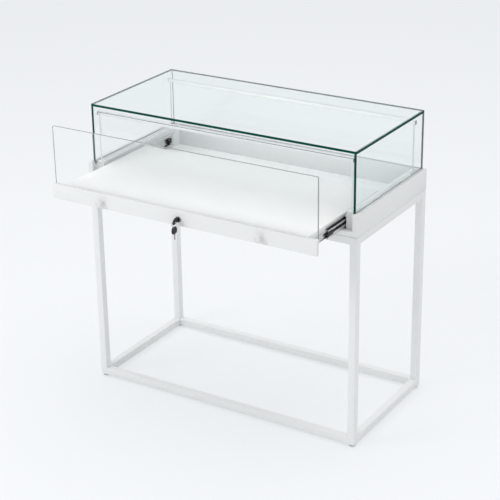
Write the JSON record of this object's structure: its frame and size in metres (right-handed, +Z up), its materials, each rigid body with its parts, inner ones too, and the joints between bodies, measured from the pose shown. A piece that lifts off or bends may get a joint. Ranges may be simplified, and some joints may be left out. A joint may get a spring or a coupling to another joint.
{
  "type": "display case",
  "caption": "Table-height glass display case on a tube stand, with light bars under the hood and a lockable drawer that carries the deck and the front glass.",
  "frame": {"origin": "on the floor, under the middle of the object's box as it stands in the picture, with the drawer partly open", "axes": "+Z up, +X to the right of someone who faces the drawer, -Y towards that person, the way the drawer opens"},
  "size_m": [1, 0.7326, 0.992],
  "materials": {
    "white_steel": "satin powder coat",
    "white_aluminium": "white powder coat",
    "satin_aluminium": "satin anodised",
    "glass": "clear, dark green polished edges",
    "white_board": "white lacquer on board",
    "white_rubber": "matte",
    "clear_rubber": "translucent",
    "opal_plastic": "opal",
    "led_board": "white board",
    "grey_plastic": "matte",
    "black_plastic": "fine texture",
    "white_plastic": "gloss",
    "zinc_steel": "zinc plated",
    "lock_chrome": "plated"
  },
  "bodies": {
    "case": {"leg_front_left": "white_steel", "leg_front_right": "white_steel", "leg_back_left": "white_steel", "leg_back_right": "white_steel", "bottom_rail_front": "white_steel", "bottom_rail_back": "white_steel", "bottom_rail_left": "white_steel", "bottom_rail_right": "white_steel", "top_rail_front": "white_steel", "top_rail_back": "white_steel", "top_rail_left": "white_steel", "top_rail_right": "white_steel", "foot_inserts": "black_plastic", "body_floor": "white_steel", "body_side_left": "white_steel", "body_side_right": "white_steel", "body_back": "white_steel", "body_front_rail": "white_steel", "body_seals": "white_rubber", "body_fasteners": "zinc_steel", "glass_top": "glass", "glass_left": "glass", "glass_right": "glass", "glass_back": "glass", "light_bar_front": "satin_aluminium", "light_bar_back": "satin_aluminium", "light_diffusers": "opal_plastic", "led_strips": "led_board", "light_end_caps": "grey_plastic", "light_posts": "satin_aluminium", "led_driver": "white_plastic", "lamp_leads": "grey_plastic", "dc_inlet": "black_plastic", "slide_outer_members": "zinc_steel", "slide_bumpers": "black_plastic"},
    "foot_front_left_body": {"foot_front_left": "black_plastic"},
    "foot_front_right_body": {"foot_front_right": "black_plastic"},
    "foot_back_left_body": {"foot_back_left": "black_plastic"},
    "foot_back_right_body": {"foot_back_right": "black_plastic"},
    "drawer": {"deck_board": "white_board", "drawer_frame": "white_steel", "fascia": "white_steel", "glass_rail": "white_aluminium", "front_glass": "glass", "front_glass_gasket": "clear_rubber", "knob_left": "white_plastic", "knob_right": "white_plastic", "drawer_screws": "zinc_steel", "lock_housing": "lock_chrome", "lock_nut": "lock_chrome", "slide_inner_members": "zinc_steel"},
    "slide_middles": {"slide_middle_members": "zinc_steel", "slide_stops": "black_plastic"},
    "outer_cages": {"outer_ball_cages": "zinc_steel"},
    "inner_cages": {"inner_ball_cages": "zinc_steel"},
    "lock": {"lock_plug": "lock_chrome", "lock_cam": "zinc_steel", "key": "black_plastic"},
    "ring": {"key_ring": "lock_chrome"},
    "hanging_key": {"spare_key": "black_plastic"}
  },
  "joints": [
    {"name": "foot_front_left_turn", "type": "hinge", "parent": "case", "child": "foot_front_left_body", "pos_m": [-0.4875, -0.10325, 0.008], "axis": [0, 0, 1], "continuous": true},
    {"name": "foot_front_right_turn", "type": "hinge", "parent": "case", "child": "foot_front_right_body", "pos_m": [0.4875, -0.10325, 0.008], "axis": [0, 0, 1], "continuous": true},
    {"name": "foot_back_left_turn", "type": "hinge", "parent": "case", "child": "foot_back_left_body", "pos_m": [-0.4875, 0.35375, 0.008], "axis": [0, 0, 1], "continuous": true},
    {"name": "foot_back_right_turn", "type": "hinge", "parent": "case", "child": "foot_back_right_body", "pos_m": [0.4875, 0.35375, 0.008], "axis": [0, 0, 1], "continuous": true},
    {"name": "drawer_slide", "type": "slide", "parent": "case", "child": "drawer", "axis": [0, -1, 0], "range_m": [-0.215, 0.185]},
    {"name": "middle_slide", "type": "slide", "parent": "case", "child": "slide_middles", "axis": [0, -1, 0], "range_m": [-0.1075, 0.0925]},
    {"name": "outer_cage_slide", "type": "slide", "parent": "case", "child": "outer_cages", "axis": [0, -1, 0], "range_m": [-0.05375, 0.04625]},
    {"name": "inner_cage_slide", "type": "slide", "parent": "case", "child": "inner_cages", "axis": [0, -1, 0], "range_m": [-0.16125, 0.13875]},
    {"name": "lock_turn", "type": "hinge", "parent": "drawer", "child": "lock", "pos_m": [0, -0.33075, 0.762], "axis": [0, 1, 0], "range_deg": [-20, 70]},
    {"name": "ring_swing", "type": "hinge", "parent": "lock", "child": "ring", "pos_m": [0, -0.35325, 0.76164], "axis": [1, 0, 0], "range_deg": [-60, 8]},
    {"name": "hanging_key_swing", "type": "hinge", "parent": "ring", "child": "hanging_key", "pos_m": [0, -0.35325, 0.74164], "axis": [1, 0, 0], "range_deg": [-60, 12]}
  ],
  "couplings": [
    {"joint": "middle_slide", "follows": "drawer_slide", "ratio": 0.5},
    {"joint": "outer_cage_slide", "follows": "drawer_slide", "ratio": 0.25},
    {"joint": "inner_cage_slide", "follows": "drawer_slide", "ratio": 0.75}
  ]
}
